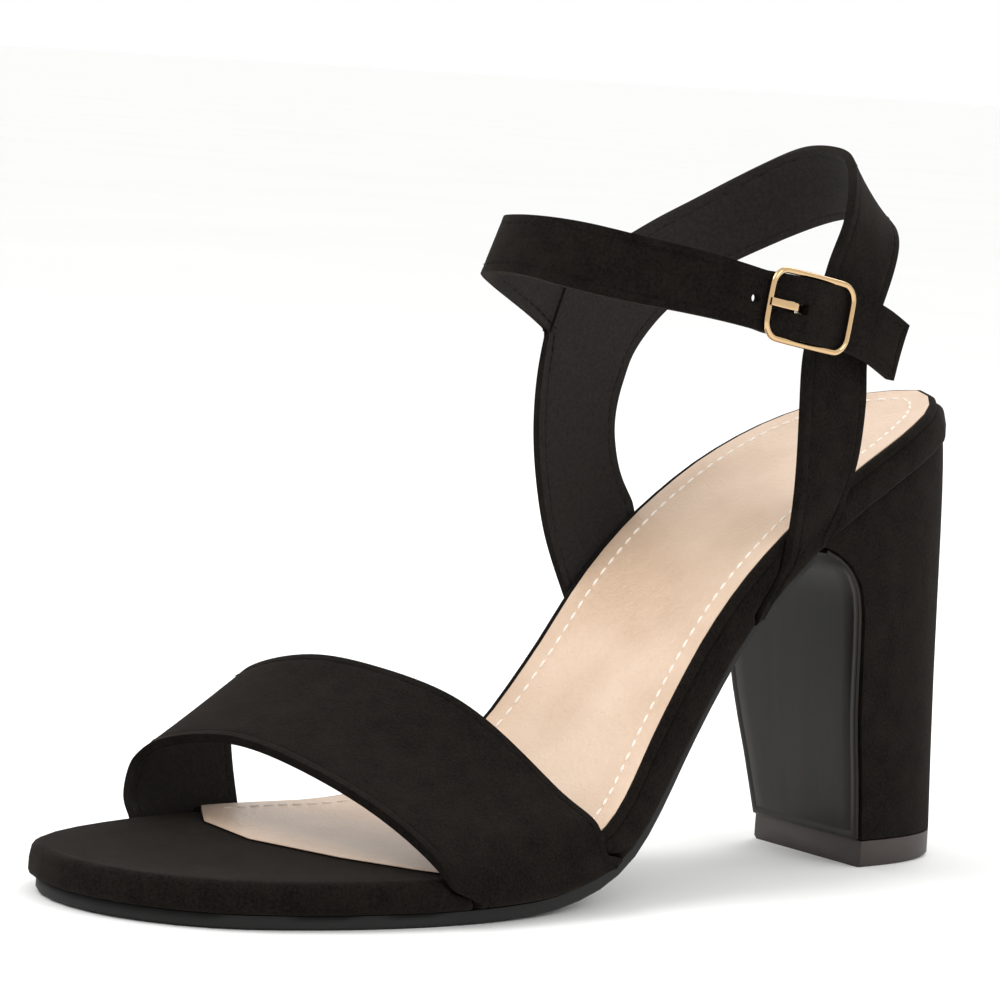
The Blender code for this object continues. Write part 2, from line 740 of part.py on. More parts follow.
def make_vamp_strap(material):
    """Wide slanted band over the toes."""
    sizes = (BALL_WIDTH, -PLAN_LENGTH, VAMP_RISE)
    outer, inner = strap_sheets(("vamp outer", "vamp inner"), free_rows(VAMP, sizes))
    sheets = (outer.reshape(-1, 3), inner.reshape(-1, 3))
    return add_object("vamp_strap", *shell(*sheets, grid_faces(index_grid(outer.shape))), material)


def cut_pockets(footbed):
    """Room for the straps' ends in the footbed's side and underside."""
    for foot in FEET:
        side = 1 if foot.endswith("outer") else -1
        outer, inner = foot_rows(foot, side, POCKET_GAP, POCKET_OPENING, FOOT_SHARES + (POCKET_TOP,))
        sheets = (outer.reshape(-1, 3), inner.reshape(-1, 3))
        faces = grid_faces(index_grid(outer.shape))
        room = add_object(foot.replace(" ", "_") + "_room", *shell(*sheets, faces))
        boolean(footbed, as_cutter(room), "DIFFERENCE")


def tube(name, path, radii, normal, material=None, closed=False, sides=8, square=False):
    """Tube along a path. Its section lies between the path's side direction and a fixed normal."""
    path = np.asarray(path, float)
    if closed:
        ahead = np.roll(path, -1, axis=0) - np.roll(path, 1, axis=0)
    else:
        ahead = np.gradient(path, axis=0)
    ahead /= np.linalg.norm(ahead, axis=1)[:, None]
    beside = np.cross(ahead, np.asarray(normal, float))
    beside /= np.linalg.norm(beside, axis=1)[:, None]
    over = np.cross(beside, ahead)
    if square:
        section = [(1, 1), (-1, 1), (-1, -1), (1, -1)]
    else:
        turns = [2 * math.pi * i / sides for i in range(sides)]
        section = [(math.cos(turn), math.sin(turn)) for turn in turns]
    count = len(section)
    points = np.concatenate([
        path[:, None] + beside[:, None] * (radii[0] * a) + over[:, None] * (radii[1] * b)
        for a, b in section
    ], axis=1)
    flat = points.reshape(-1, 3)
    steps = len(path) if closed else len(path) - 1
    faces = [
        (
            i * count + j,
            i * count + (j + 1) % count,
            (i + 1) % len(path) * count + (j + 1) % count,
            (i + 1) % len(path) * count + j,
        )
        for i in range(steps)
        for j in range(count)
    ]
    if not closed:
        faces.append(tuple(range(count)))
        faces.append(tuple(range((len(path) - 1) * count, len(path) * count)))
    return add_object(name, flat, faces, material)


def arc(middle, radius, start, end, steps):
    """Points (along, out) on an arc, its angles in degrees."""
    turns = np.radians(np.linspace(start, end, steps + 1))
    return [(middle[0] + radius * math.cos(t), middle[1] + radius * math.sin(t)) for t in turns]


def frame_path():
    """Middle line of the buckle's frame: a rectangle with round corners, as (along, up)."""
    half_length = (BUCKLE_LENGTH - BUCKLE_WIRE) / 2
    half_width = (BUCKLE_WIDTH - BUCKLE_WIRE) / 2
    points = []
    for along, up, start in ((1, 1, 0), (-1, 1, 90), (-1, -1, 180), (1, -1, 270)):
        corner = (along * (half_length - BUCKLE_CORNER), up * (half_width - BUCKLE_CORNER))
        points += arc(corner, BUCKLE_CORNER, start, start + 90, 6)
    return points


def make_buckle_frame(material):
    """Round-cornered frame with a middle bar that stands in toward the quarter."""
    path = np.array([buckle_place(along, up, FRAME_OUT) for along, up in frame_path()])
    wire = BUCKLE_WIRE / 2
    frame = tube("buckle_frame", path, (wire, wire), (1, 0, 0), material, closed=True)
    rail = (BUCKLE_WIDTH - BUCKLE_WIRE) / 2
    half_route = [(rail, FRAME_OUT), (rail, BAR_OUT + BAR_BEND), (rail - BAR_BEND, BAR_OUT)]
    route = half_route + [(-up, out) for up, out in half_route[::-1]]
    bar_path = [buckle_place(0, up, out) for up, out in route]
    ahead = buckle_place(1, 0, 0) - buckle_place(0, 0, 0)
    radius = BAR_DIAMETER / 2
    bar = tube("buckle_bar", bar_path, (radius, radius), ahead, sides=10)
    boolean(frame, as_cutter(bar), "UNION")
    return frame


def make_buckle_tab(material):
    """Leather tab round the middle bar, laid back on the quarter, split for the prong."""
    half = TAB_THICKNESS / 2
    ring = BAR_LOOP - half
    low = FACE + GAP + half
    route = [(TAB_LENGTH, low), (0.5 * TAB_LENGTH, low), (2.6 * MM, low), (1.2 * MM, low + 0.05 * MM)]
    route += arc((0, BAR_OUT), ring, -90, -330, 14)
    up = buckle_place(0, 1, 0) - buckle_place(0, 0, 0)
    path = [buckle_place(along, 0, out) for along, out in route]
    tab = tube("buckle_tab", path, (half, TAB_WIDTH / 2), up, material, square=True)
    slot = (4 * BAR_LOOP, PRONG_WIDTH + 2 * GAP, 3 * BAR_LOOP)
    room = block("prong_room", slot, (-0.35 * BAR_LOOP, 0, BAR_OUT + 0.2 * BAR_LOOP))
    boolean(tab, as_cutter(room), "DIFFERENCE")
    return tab


def block(name, size, middle):
    """Box near the buckle, its size and middle along, up and outward."""
    points = [
        buckle_place(
            middle[0] + along * size[0] / 2,
            middle[1] + up * size[1] / 2,
            middle[2] + out * size[2] / 2,
        )
        for along in (-1, 1)
        for up in (-1, 1)
        for out in (-1, 1)
    ]
    faces = [(0, 1, 3, 2), (4, 6, 7, 5), (0, 4, 5, 1), (2, 3, 7, 6), (0, 2, 6, 4), (1, 5, 7, 3)]
    return add_object(name, points, faces)


def make_buckle_prong(material):
    """Prong that turns on the middle bar, comes up through the strap and rests on the frame."""
    half = PRONG_THICKNESS / 2
    ring = BAR_LOOP - half
    rest = FRAME_OUT + BUCKLE_WIRE / 2 + GAP + half
    route = arc((0, BAR_OUT), ring, -100, 90, 10)
    route += [
        (-1.7 * MM, BAR_OUT + ring + 0.05 * MM),
        (-3.2 * MM, BAR_OUT + ring + 0.8 * MM),
        (-4.6 * MM, STRAP_HIGH + 0.1 * MM),
        (-6.2 * MM, STRAP_HIGH + 0.3 * MM),
        (-9.0 * MM, rest),
        (-BUCKLE_LENGTH / 2 - 0.2 * MM, rest),
    ]
    up = buckle_place(0, 1, 0) - buckle_place(0, 0, 0)
    path = [buckle_place(along, 0, out) for along, out in route]
    return tube("buckle_prong", path, (half, PRONG_WIDTH / 2), up, material, square=True)


def cut_holes(upper):
    """Slot for the prong and one free punched hole."""
    slot = (SLOT_LENGTH, PRONG_WIDTH + 2 * GAP, 3 * STRAP_WALL)
    room = block("prong_slot", slot, (SLOT_PLACE, 0, STRAP_HIGH - STRAP_WALL))
    boolean(upper, as_cutter(room), "DIFFERENCE")
    along = SLOT_PLACE - HOLE_STEP
    ends = (FACE - 2 * STRAP_WALL, STRAP_HIGH + 2 * STRAP_WALL)
    path = [buckle_place(along, 0, out) for out in ends]
    radius = HOLE_DIAMETER / 2
    hole = tube("punch", path, (radius, radius), (0, 0, 1), sides=16)
    boolean(upper, as_cutter(hole), "DIFFERENCE")


def main():
    for old in list(bpy.data.objects):
        bpy.data.objects.remove(old)
    cloth = principled("black faux suede", (0.010, 0.009, 0.008), 0.9)
    rubber = principled("black rubber", (0.012, 0.011, 0.011), 0.5)
    sock = principled("nude sock lining", (0.75, 0.52, 0.38), 0.5)
    satin = principled("satin breast panel", (0.030, 0.028, 0.026), 0.35)
    plate = principled("hard rubber plate", (0.020, 0.016, 0.013), 0.45)
    gold = principled("light gold plating", (0.85, 0.62, 0.36), 0.2, 1.0)
    footbed = make_footbed(cloth)
    make_outsole(rubber)
    make_insole(sock)
    make_heel(cloth)
    make_heel_breast(satin)
    make_top_lift(plate)
    make_vamp_strap(cloth)
    upper = make_upper(cloth)
    cut_pockets(footbed)
    cut_holes(upper)
    make_buckle_frame(gold)
    make_buckle_tab(cloth)
    make_buckle_prong(gold)


main()
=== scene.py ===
"""Block heel sandal, left shoe: black suede cloth straps and heel, nude lining, light gold buckle.

Metres, +Z up, toe toward -Y, outer side of the foot toward +X, origin on the floor under the heel.
"""

import math

import bmesh
import bpy
from mathutils import Matrix, Vector
from mathutils.bvhtree import BVHTree
from mathutils.kdtree import KDTree


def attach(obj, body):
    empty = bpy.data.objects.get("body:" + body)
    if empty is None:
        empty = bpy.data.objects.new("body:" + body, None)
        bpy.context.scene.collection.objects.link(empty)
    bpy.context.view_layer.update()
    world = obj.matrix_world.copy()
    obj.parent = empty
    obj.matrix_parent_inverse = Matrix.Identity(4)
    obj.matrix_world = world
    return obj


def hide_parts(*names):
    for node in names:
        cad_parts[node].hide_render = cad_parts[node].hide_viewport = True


MM = 0.001

# Copies of the CAD's meshes: points nearer than MERGE are one, and flat enough triangles pair up.
MERGE = 0.003 * MM
QUAD_BEND = math.radians(30)
QUAD_SHAPE = math.radians(50)
SHARP = math.radians(50)

# Width of the rounding at the pieces' sharp edges.
STRAP_ROUND = 0.45 * MM
SOCK_ROUND = 0.35 * MM
HEEL_ROUND = 0.5 * MM
PANEL_ROUND = 0.3 * MM
LIFT_ROUND = 0.25 * MM
BACKING_ROUND = 0.2 * MM
BUCKLE_ROUND = 0.15 * MM

# Stitches: pitch, length and thickness of thread.
STRAP_STITCH = (2.2 * MM, 1.7 * MM, 0.24 * MM)
SOCK_STITCH = (3.1 * MM, 2.3 * MM, 0.6 * MM)

# Straps: an edge turned over that far, and a sewn groove beside it.
TURNED_EDGE = 1.5 * MM
SEAM_GROOVE = 0.3 * MM
SEAM_DEPTH = 0.18 * MM

# Soft creases of the straps: middle, radius, and how far the cloth stands out there or sinks.
CREASES = (
    # x, y, z, radius, rise, in mm
    (38, -110, 28, 7, 0.35),
    (36, -122, 31, 5, -0.30),
    (-38, -134, 26, 6, 0.30),
    (30, -30, 100, 7, 0.35),
    (27, -22, 108, 6, -0.30),
    (-30, -52, 118, 7, 0.30),
    (-31, -66, 108, 6, -0.25),
    (10, -96, 124, 8, 0.30),
    (24, -88, 124, 7, -0.25),
    (-12, -2, 134, 8, 0.25),
)
CREASE_REACH = 3  # radii

# The strap is filled out inside the buckle's frame: outward of BUCKLE_SIDE, within BUCKLE_REACH of
# the buckle's middle along the strap, and from FULL_FROM to FULL_TO across it.
BUCKLE_MIDDLE = Vector((0, -53.16, 115.61)) * MM
BUCKLE_TILT = math.radians(9.5)
BUCKLE_SIDE = 29 * MM
BUCKLE_REACH = 10 * MM
STRAP_HALF = 5.9 * MM
FULL_FROM = 0.7 * STRAP_HALF
FULL_TO = 1.1 * STRAP_HALF
STRAP_FULLNESS = 0.3 * MM

# Block of cloth behind the slot that the prong passes through, and its place from BUCKLE_MIDDLE.
BACKING_SIZE = (1.2 * MM, 3.0 * MM, 2.1 * MM)
BACKING_AWAY = Vector((31.6, -4.9, 0.8)) * MM

# Seam between the ankle strap and the inner quarter, on the strap's two faces: the x of each, and
# its points from the top down, each with its distance from that x. In mm.
JOINING_SEAM_X = (("inner", -28.9), ("outer", -31.0))
JOINING_SEAM = ((0, -61.8, 120.2), (0, -64.3, 113.2), (0.2, -67.0, 106.2))
SEAM_WIDTH = 0.5 * MM
TUBE_MERGE = 0.001 * MM

# Sock lining. Its stitches run SOCK_MARGIN inside its edge, and nowhere nearer than SOCK_CLEAR.
# Its slanted front edge lies ahead of SOCK_FRONT and is thinned by SOCK_SKIVE. The stitches' row
# is open there, which shows as two points farther apart than ROW_BREAK.
SOCK_EDGE_STEP = 1.0 * MM
SOCK_MARGIN = 6.2 * MM
SOCK_CLEAR = 0.97 * SOCK_MARGIN
SOCK_FRONT = -130 * MM
SOCK_SKIVE = 0.75 * MM
SKIVE_REACH = 1.2 * SOCK_EDGE_STEP
ROW_BREAK = 4 * MM

# Rolled cloth rim round the sock: its radius, and its place from the sock's edge.
RIM_ROLL = 1.15 * MM
RIM_ROLL_OUT = 0.8 * MM
RIM_ROLL_UP = Vector((0, 0, -0.75)) * MM

# Pressed fold of the satin panel: steps inward from its edge, each with its depth.
PANEL_FOLD = ((1.3 * MM, 0), (0.3 * MM, -0.15 * MM), (0.3 * MM, 0.12 * MM))

# Texture values at which a finish has its dark and its light colour.
DARK_AT = 0.35
LIGHT_AT = 0.65

# Camera at the photograph's angle, turned a little about its own axis.
CAMERA_PLACE = (0.699834, -0.704329, 0.160734)
CAMERA_RIGHT = Vector((0.646356, 0.760427, 0.063042))
CAMERA_UP = Vector((-0.111175, 0.012114, 0.993727))
CAMERA_BACK = Vector((0.754893, -0.649310, 0.092371))
CAMERA_LENS = 169.8
CAMERA_SENSOR = 36
CAMERA_CLIP = 0.05

# Studio: the floor's size, and round lights that aim at the shoe's middle.
FLOOR_SIZE = 40
FLOOR_CLOUDS = 3.0
LIT_MIDDLE = Vector((0, -0.09, 0.06))
LIGHTS = (
    # name, place, width in metres, power in watts
    ("key", (-0.35, -0.75, 1.1), 0.8, 7),
    ("side", (1.0, 0.15, 0.75), 0.6, 3),
    ("rear", (-0.5, 0.8, 0.9), 0.6, 3.5),
)

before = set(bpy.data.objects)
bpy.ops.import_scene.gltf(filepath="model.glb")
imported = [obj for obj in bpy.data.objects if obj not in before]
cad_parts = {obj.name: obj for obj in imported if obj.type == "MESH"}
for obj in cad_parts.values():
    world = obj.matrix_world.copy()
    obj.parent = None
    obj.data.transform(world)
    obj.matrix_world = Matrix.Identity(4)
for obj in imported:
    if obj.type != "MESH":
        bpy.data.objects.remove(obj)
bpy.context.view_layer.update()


def linear(hex_colour):
    """Linear colour of an sRGB hex value."""
    parts = [int(hex_colour[i : i + 2], 16) / 255 for i in (1, 3, 5)]
    linear_parts = (p / 12.92 if p <= 0.04045 else ((p + 0.055) / 1.055) ** 2.4 for p in parts)
    return (*linear_parts, 1.0)


def add_node(tree, kind, inputs):
    """One shader node. An input takes a number or colour, or a socket that is linked to it."""
    node = tree.nodes.new(kind)
    for name, value in inputs.items():
        if isinstance(value, bpy.types.NodeSocket):
            tree.links.new(value, node.inputs[name])
        else:
            node.inputs[name].default_value = value
    return node


def new_finish(name, colour, **shader_values):
    """Material with its Principled shader's own values. Returns it, its tree, shader and place."""
    material = bpy.data.materials.new(name)
    material.use_nodes = True
    tree = material.node_tree
    shader = tree.nodes["Principled BSDF"]
    shader.inputs["Base Color"].default_value = linear(colour)
    for key, value in shader_values.items():
        shader.inputs[key.replace("_", " ")].default_value = value
    place = add_node(tree, "ShaderNodeTexCoord", {}).outputs["Object"]
    return material, tree, shader, place


def per_mm(size):
    """Texture scale for a pattern of that size in millimetres."""
    return 1 / (size * MM)


def noise(tree, place, scale, detail, **inputs):
    """Value of a noise texture."""
    inputs.update(Vector=place, Scale=scale, Detail=detail)
    return add_node(tree, "ShaderNodeTexNoise", inputs).outputs["Fac"]


def vary_colour(tree, shader, value, dark, light):
    """The colour follows a texture's value, between two hex colours."""
    ramp = add_node(tree, "ShaderNodeValToRGB", {"Fac": value})
    for stop, position, colour in zip(
        ramp.color_ramp.elements, (DARK_AT, LIGHT_AT), (dark, light)
    ):
        stop.position = position
        stop.color = linear(colour)
    tree.links.new(ramp.outputs["Color"], shader.inputs["Base Color"])


def vary_roughness(tree, shader, value, low, high):
    """The roughness follows a texture's value, between two limits."""
    spread = add_node(tree, "ShaderNodeMapRange", {"Value": value, "To Min": low, "To Max": high})
    tree.links.new(spread.outputs["Result"], shader.inputs["Roughness"])


def raise_grain(tree, shader, value, strength, height):
    """The surface stands out with a texture's value, by a height in millimetres."""
    inputs = {"Height": value, "Strength": strength, "Distance": height * MM}
    bump = add_node(tree, "ShaderNodeBump", inputs)
    tree.links.new(bump.outputs["Normal"], shader.inputs["Normal"])


def suede_cloth():
    """Faux suede: a short brushed nap that scatters light, with rubbed patches and no gloss."""
    dark = "#060504"
    material, tree, shader, place = new_finish(
        "black faux suede",
        dark,
        Roughness=0.95,
        Sheen_Weight=0.09,
        Sheen_Roughness=0.4,
        Specular_IOR_Level=0.07,
    )
    shader.inputs["Sheen Tint"].default_value = linear("#8f8074")
    # The nap's patches are 5 mm wide. Its tufts of 0.1 mm are drawn 0.55 mm wide so that they show.
    patches = noise(tree, place, per_mm(5), 5.0)
    tufts = noise(tree, place, per_mm(0.55), 4.0, Roughness=0.7)
    share = add_node(tree, "ShaderNodeMix", {"Factor": 0.7, "A": patches, "B": tufts})
    vary_colour(tree, shader, share.outputs["Result"], dark, "#1c1815")
    raise_grain(tree, shader, tufts, 0.8, 0.25)
    return material


def strap_lining():
    """Soft lining on the straps' inner side: a pressed grain with light specks, half matt."""
    material, tree, shader, place = new_finish(
        "strap lining", "#1a1614", Roughness=0.7, Specular_IOR_Level=0.3
    )
    # Grain 0.7 mm wide, with finer grain inside it.
    grain = noise(tree, place, per_mm(0.7), 6.0, Roughness=0.75)
    vary_colour(tree, shader, grain, "#050404", "#231e1b")
    raise_grain(tree, shader, grain, 0.9, 0.35)
    return material


def sock_lining():
    """Coated nude lining: a drawn grain and a faint sheen, slightly uneven in colour."""
    material, tree, shader, place = new_finish(
        "nude sock lining", "#e3c3a8", Roughness=0.42, Sheen_Weight=0.1, Specular_IOR_Level=0.45
    )
    cloud = noise(tree, place, per_mm(24), 3.0)
    # Drawn grain: creases 1.4 mm apart, each with finer ones inside it.
    grain = noise(tree, place, per_mm(1.4), 6.0, Roughness=0.6, Distortion=0.8)
    vary_colour(tree, shader, cloud, "#cbae93", "#dcc1a9")
    vary_roughness(tree, shader, cloud, 0.28, 0.44)
    raise_grain(tree, shader, grain, 0.55, 0.5)
    return material


def satin_panel():
    """Coated satin drawn tight over the heel's front, with a low gloss: soft upright streaks in its
    roughness and bumps, and painted highlight streaks in its colour.
    """
    material, tree, shader, place = new_finish(
        "satin breast panel", "#1a1612", Roughness=0.36, Specular_IOR_Level=0.22
    )
    # Soft upright streaks 5 mm wide and 70 mm long, with finer ones inside. In the colour they are
    # painted highlights; in the roughness and bumps they are the satin's own.
    stretch = (per_mm(5), per_mm(5), per_mm(70))
    drawn = add_node(tree, "ShaderNodeMapping", {"Vector": place, "Scale": stretch})
    streaks_and_painted_highlights = noise(tree, drawn.outputs["Vector"], 1.0, 6.0)
    # Painted highlight streaks: the colour is lighter along the streaks.
    vary_colour(tree, shader, streaks_and_painted_highlights, "#0c0906", "#201a14")
    vary_roughness(tree, shader, streaks_and_painted_highlights, 0.3, 0.46)
    raise_grain(tree, shader, streaks_and_painted_highlights, 0.18, 0.1)
    return material


def moulded_rubber(name, dark, light, roughness, grit):
    """Moulded rubber: even, with a fine grit of that size in millimetres and slight scuffs."""
    material, tree, shader, place = new_finish(
        name, dark, Roughness=roughness, Specular_IOR_Level=0.4
    )
    grain = noise(tree, place, per_mm(grit), 3.0)
    scuffs = noise(tree, place, per_mm(9), 5.0)
    vary_colour(tree, shader, scuffs, dark, light)
    vary_roughness(tree, shader, scuffs, roughness - 0.08, roughness + 0.1)
    raise_grain(tree, shader, grain, 0.2, 0.1)
    return material


def gold_plating():
    """Light gold plating over cast zinc: polished, with faint handling marks in its gloss."""
    material, tree, shader, place = new_finish(
        "light gold plating", "#cfae82", Metallic=1.0, Roughness=0.14
    )
    marks = noise(tree, place, per_mm(1.6), 5.0)
    vary_roughness(tree, shader, marks, 0.08, 0.24)
    return material


def sewing_thread(name, dark, light):
    """Bonded polyester thread: twisted, with a soft gloss."""
    material, tree, shader, place = new_finish(name, dark, Roughness=0.8, Specular_IOR_Level=0.15)
    # The thread's twist repeats every 0.4 mm.
    twist = noise(tree, place, per_mm(0.4), 1.0)
    vary_colour(tree, shader, twist, dark, light)
    return material


def merged_copy(node):
    """Working form of a CAD node: its triangles joined along their edges and paired to quads."""
    form = bmesh.new()
    form.from_mesh(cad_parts[node].data)
    bmesh.ops.remove_doubles(form, verts=form.verts, dist=MERGE)
    bmesh.ops.dissolve_degenerate(form, edges=form.edges, dist=MERGE)
    bmesh.ops.join_triangles(
        form,
        faces=form.faces,
        angle_face_threshold=QUAD_BEND,
        angle_shape_threshold=QUAD_SHAPE,
    )
    form.normal_update()
    return form


def smooth_regions(form):
    """Groups of faces between sharp edges, the largest first. The order is the same each run."""
    left = dict.fromkeys(form.faces)
    regions = []
    while left:
        region = [next(iter(left))]
        del left[region[0]]
        for face in region:
            for edge in face.edges:
                for other in edge.link_faces:
                    if other in left and edge.calc_face_angle(math.pi) < SHARP:
                        del left[other]
                        region.append(other)
        regions.append(region)
    return sorted(regions, key=lambda faces: -sum(face.calc_area() for face in faces))


def facing(faces):
    """Mean direction of a group of faces."""
    total = Vector((0, 0, 0))
    for face in faces:
        total += face.normal * face.calc_area()
    return total.normalized()


def rim_loops(faces):
    """Closed lines round a group of faces, of points with their normals, the longest first."""
    inside = set(faces)
    ahead = {}
    for face in faces:
        for loop in face.loops:
            if not any(other in inside for other in loop.edge.link_faces if other is not face):
                ahead[loop.vert] = loop.link_loop_next.vert
    loops = []
    while ahead:
        start, vert = ahead.popitem()
        line = [start]
        while vert is not start and vert in ahead:
            line.append(vert)
            vert = ahead.pop(vert)
        loops.append([(v.co.copy(), v.normal.copy()) for v in line])
    return sorted(loops, key=len, reverse=True)


def sew(form, line, stitch):
    """Stitches along a closed line. None cross the sock's front edge, where its row is open."""
    pitch, length, thickness = stitch
    half_sizes = Matrix.Diagonal((length / 2, thickness / 2, thickness / 2, 1))
    points = line + line[:1]
    runs = [(b[0] - a[0]).length for a, b in zip(points, points[1:])]
    count = max(1, round(sum(runs) / pitch))
    step = sum(runs) / count
    travelled = 0.0
    at = 0.5 * step
    for (a, b), run in zip(zip(points, points[1:]), runs):
        is_open = run > ROW_BREAK and a[0].y < SOCK_FRONT
        while run > 0 and at <= travelled + run:
            if not is_open:
                share = (at - travelled) / run
                middle = Matrix.Translation(a[0].lerp(b[0], share))
                out = a[1].lerp(b[1], share).normalized()
                along = (b[0] - a[0]).normalized()
                side = out.cross(along).normalized()
                turn = Matrix((along, side, out)).transposed().to_4x4()
                bmesh.ops.create_icosphere(
                    form, subdivisions=2, radius=1, matrix=middle @ turn @ half_sizes
                )
            at += step
        travelled += run


def inset(form, faces, width, depth, even):
    """Moves the rim of a group of faces in by a width, and the faces inside it by a depth."""
    bmesh.ops.inset_region(
        form,
        faces=faces,
        thickness=width,
        depth=depth,
        use_even_offset=even,
        use_boundary=True,
    )


def round_edges(form, width, segments=3):
    """Rounds the sharp edges, as cloth turned over an edge is."""
    sharp = [edge for edge in form.edges if edge.is_manifold and edge.calc_face_angle(0) > SHARP]
    bmesh.ops.bevel(
        form,
        geom=sharp,
        offset=width,
        affect="EDGES",
        segments=segments,
        profile=0.5,
        material=-1,
        clamp_overlap=True,
    )


def crease(form):
    """Soft troughs and ridges where the cloth gives."""
    form.normal_update()
    for x, y, z, radius, rise in CREASES:
        middle = Vector((x, y, z)) * MM
        for vert in form.verts:
            away = (vert.co - middle).length / (radius * MM)
            if away < CREASE_REACH:
                vert.co += vert.normal * (rise * MM * math.exp(-away * away))


def fill_buckle(form):
    """The strap is full inside the buckle's frame and touches its long sides."""
    along = Vector((0, math.cos(BUCKLE_TILT), -math.sin(BUCKLE_TILT)))
    up = Vector((0, math.sin(BUCKLE_TILT), math.cos(BUCKLE_TILT)))
    for vert in form.verts:
        away = vert.co - BUCKLE_MIDDLE
        height = away.dot(up)
        in_frame = vert.co.x > BUCKLE_SIDE and abs(away.dot(along)) < BUCKLE_REACH
        if in_frame and FULL_FROM < abs(height) < FULL_TO:
            vert.co += up * math.copysign(STRAP_FULLNESS, height)


def finish_piece(form, name, finishes, nodes=(), levels=0):
    """Makes a piece of a form. It rides on the one body and stands for the CAD nodes named."""
    mesh = bpy.data.meshes.new(name)
    form.to_mesh(mesh)
    form.free()
    for finish in finishes:
        mesh.materials.append(finish)
    mesh.shade_smooth()
    if not levels:
        mesh.set_sharp_from_angle(angle=SHARP)
    piece = bpy.data.objects.new(name, mesh)
    bpy.context.scene.collection.objects.link(piece)
    if levels:
        finer = piece.modifiers.new("finer cloth", "SUBSURF")
        finer.levels = levels
        finer.render_levels = levels
    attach(piece, "root")
    if nodes:
        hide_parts(*nodes)


def make_strap(node, name, suede, lining, thread_form):
    """Strap with turned edges, a sewn groove inside them on both faces, and a lining inside."""
    form = merged_copy(node)
    outer, inner = smooth_regions(form)[:2]
    for face in inner:
        face.material_index = 1
    for side in (outer, inner):
        inset(form, side, TURNED_EDGE, 0, even=False)
        inset(form, side, SEAM_GROOVE, -SEAM_DEPTH, even=False)
        form.normal_update()
        sew(thread_form, rim_loops(side)[0], STRAP_STITCH)
        inset(form, side, SEAM_GROOVE, SEAM_DEPTH, even=False)
    round_edges(form, STRAP_ROUND, segments=2)
    crease(form)
    fill_buckle(form)
    finish_piece(form, name, (suede, lining), (node,), levels=2)


def make_plain(node, name, finish, width=0.0, levels=0):
    """Piece of a CAD node's own shape, its edges rounded when a width is given."""
    form = merged_copy(node)
    if width:
        round_edges(form, width)
    finish_piece(form, name, (finish,), (node,), levels)


def even_line(line, step):
    """Evenly spaced points of a closed line, each with the line's direction and the way out."""
    points = line + line[:1]
    spaced = []
    at = travelled = 0.0
    for a, b in zip(points, points[1:]):
        run = (b[0] - a[0]).length
        while run > 0 and at <= travelled + run:
            share = (at - travelled) / run
            spaced.append((a[0].lerp(b[0], share), a[1].lerp(b[1], share).normalized()))
            at += step
        travelled += run
    rows = []
    for i, (place, normal) in enumerate(spaced):
        along = (spaced[(i + 1) % len(spaced)][0] - spaced[i - 1][0]).normalized()
        rows.append((place, along, along.cross(normal).normalized()))
    return rows


def make_tube(name, places, radius, finish):
    """Round cord of cloth along a line of places, as a mesh."""
    curve = bpy.data.curves.new(name, "CURVE")
    curve.dimensions = "3D"
    curve.bevel_depth = radius
    curve.bevel_resolution = 3
    curve.use_fill_caps = True
    run = curve.splines.new("POLY")
    run.points.add(len(places) - 1)
    for point, place in zip(run.points, places):
        point.co = (*place, 1)
    guide = bpy.data.objects.new(name, curve)
    form = bmesh.new()
    form.from_mesh(guide.to_mesh())
    guide.to_mesh_clear()
    bpy.data.objects.remove(guide)
    bmesh.ops.remove_doubles(form, verts=form.verts, dist=TUBE_MERGE)
    bmesh.ops.recalc_face_normals(form, faces=form.faces)
    finish_piece(form, name, (finish,))


def make_joining_seams(suede):
    """Raised seams where the ankle strap is sewn to the inner quarter, one on each face."""
    for side, x in JOINING_SEAM_X:
        seam = [Vector((x + aside, y, z)) * MM for aside, y, z in JOINING_SEAM]
        make_tube("joining_seam_" + side, seam, SEAM_WIDTH / 2, suede)


def make_hole_backing(suede):
    """Cloth behind the prong's slot, so that no daylight shows through it."""
    form = bmesh.new()
    bmesh.ops.create_cube(form, size=1, matrix=Matrix.Diagonal((*BACKING_SIZE, 1)))
    bmesh.ops.rotate(form, verts=form.verts, matrix=Matrix.Rotation(-BUCKLE_TILT, 3, "X"))
    bmesh.ops.translate(form, verts=form.verts, vec=BUCKLE_MIDDLE + BACKING_AWAY)
    round_edges(form, BACKING_ROUND)
    finish_piece(form, "prong_hole_backing", (suede,))


def crosses_toes(place, along):
    """True on the sock's front edge."""
    return place.y < SOCK_FRONT and abs(along.x) > abs(along.y)


def make_sock(lining, thread, suede):
    """Sock lining, one row of light stitches inside its edge, and the rolled rim round it."""
    form = merged_copy("insole")
    up = [faces for faces in smooth_regions(form)[:2] if facing(faces).z > 0][0]
    edge = even_line(rim_loops(up)[0], SOCK_EDGE_STEP)
    front = [place for place, along, out in edge if crosses_toes(place, along)]
    sides = [(place, out) for place, along, out in edge if not crosses_toes(place, along)]

    surface = BVHTree.FromBMesh(form)
    rim = KDTree(len(edge))
    for i, (place, along, out) in enumerate(edge):
        rim.insert(place, i)
    rim.balance()
    row = []
    for place, out in sides:
        moved = place - out * SOCK_MARGIN
        if rim.find(moved)[2] > SOCK_CLEAR:
            row.append(surface.find_nearest(moved)[:2])
    stitches = bmesh.new()
    sew(stitches, row, SOCK_STITCH)

    first = max(range(len(sides)), key=lambda i: (sides[i][0] - sides[i - 1][0]).length)
    sides = sides[first:] + sides[:first]
    roll = [place + out * RIM_ROLL_OUT + RIM_ROLL_UP for place, out in sides]
    make_tube("rim_roll", roll, RIM_ROLL, suede)

    thinned = {
        vert
        for face in up
        for vert in face.verts
        if any((vert.co - place).length < SKIVE_REACH for place in front)
    }
    for vert in thinned:
        vert.co.z -= SOCK_SKIVE
    round_edges(form, SOCK_ROUND)
    finish_piece(form, "sock_lining", (lining,), ("insole",))
    finish_piece(stitches, "sock_stitches", (thread,))


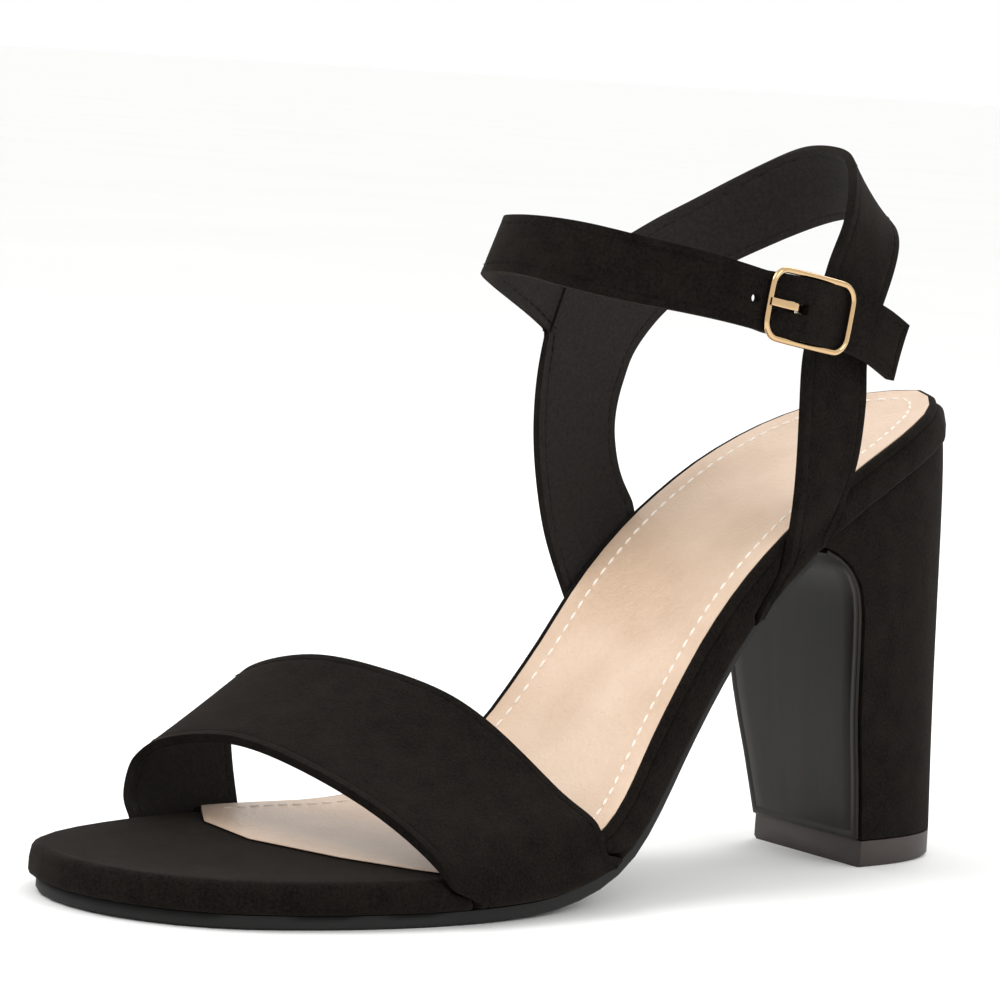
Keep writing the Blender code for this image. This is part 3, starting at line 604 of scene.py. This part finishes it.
def make_breast(satin):
    """Satin panel with a pressed fold just inside its edge."""
    form = merged_copy("heel_breast")
    front = [faces for faces in smooth_regions(form)[:2] if facing(faces).y < 0][0]
    for width, depth in PANEL_FOLD:
        inset(form, front, width, depth, even=True)
    round_edges(form, PANEL_ROUND)
    finish_piece(form, "breast_panel", (satin,), ("heel_breast",))


def make_camera():
    """Makes the scene's camera."""
    camera = bpy.data.objects.new("camera", bpy.data.cameras.new("camera"))
    camera.data.lens = CAMERA_LENS
    camera.data.sensor_width = CAMERA_SENSOR
    camera.data.clip_start = CAMERA_CLIP
    turn = Matrix((CAMERA_RIGHT, CAMERA_UP, CAMERA_BACK)).transposed().to_4x4()
    camera.matrix_world = Matrix.Translation(CAMERA_PLACE) @ turn
    bpy.context.scene.collection.objects.link(camera)
    bpy.context.scene.camera = camera


def make_lights():
    """Makes the round lights."""
    for name, place, width, power in LIGHTS:
        lamp = bpy.data.lights.new(name, "AREA")
        lamp.shape = "DISK"
        lamp.size = width
        lamp.energy = power
        light = bpy.data.objects.new(name, lamp)
        light.location = place
        light.rotation_euler = (LIT_MIDDLE - Vector(place)).to_track_quat("-Z", "Y").to_euler()
        bpy.context.scene.collection.objects.link(light)


def make_studio():
    """Pale floor, even white surroundings and soft lights from above."""
    form = bmesh.new()
    bmesh.ops.create_grid(form, x_segments=8, y_segments=8, size=FLOOR_SIZE)
    mesh = bpy.data.meshes.new("floor")
    form.to_mesh(mesh)
    form.free()
    material, tree, shader, place = new_finish("pale floor", "#f7f6f4", Roughness=0.8)
    vary_colour(tree, shader, noise(tree, place, FLOOR_CLOUDS, 2.0), "#fbfbfa", "#fdfdfc")
    mesh.materials.append(material)
    floor = bpy.data.objects.new("floor", mesh)
    bpy.context.scene.collection.objects.link(floor)
    world = bpy.data.worlds.new("studio")
    world.use_nodes = True
    world.node_tree.nodes["Background"].inputs["Color"].default_value = (1, 1, 1, 1)
    world.node_tree.nodes["Background"].inputs["Strength"].default_value = 1.0
    bpy.context.scene.world = world
    make_lights()
    bpy.context.scene.view_settings.view_transform = "Standard"


make_camera()
make_studio()

suede = suede_cloth()
lining = strap_lining()
gold = gold_plating()
dark_thread = sewing_thread("dark sewing thread", "#060505", "#0c0a09")
light_thread = sewing_thread("light sewing thread", "#e9ddd0", "#f8f1e9")
sole_rubber = moulded_rubber("sole rubber", "#090808", "#121110", 0.7, 0.5)
lift_rubber = moulded_rubber("hard heel rubber", "#2c2421", "#3a302c", 0.5, 0.4)

strap_stitches = bmesh.new()
make_strap("ankle_upper", "upper_cloth", suede, lining, strap_stitches)
make_strap("vamp_strap", "toe_band_cloth", suede, lining, strap_stitches)
finish_piece(strap_stitches, "strap_stitches", (dark_thread,))
make_joining_seams(suede)
make_hole_backing(suede)
make_sock(sock_lining(), light_thread, suede)
make_plain("footbed", "platform_wrap", suede)
make_plain("outsole", "sole_sheet", sole_rubber)
make_plain("heel", "heel_wrap", suede, HEEL_ROUND)
make_breast(satin_panel())
make_plain("top_lift", "heel_tip", lift_rubber, LIFT_ROUND)
make_plain("buckle_tab", "buckle_holder", suede, BUCKLE_ROUND)
make_plain("buckle_frame", "frame_gold", gold, levels=2)
make_plain("buckle_prong", "prong_gold", gold, BUCKLE_ROUND, levels=1)
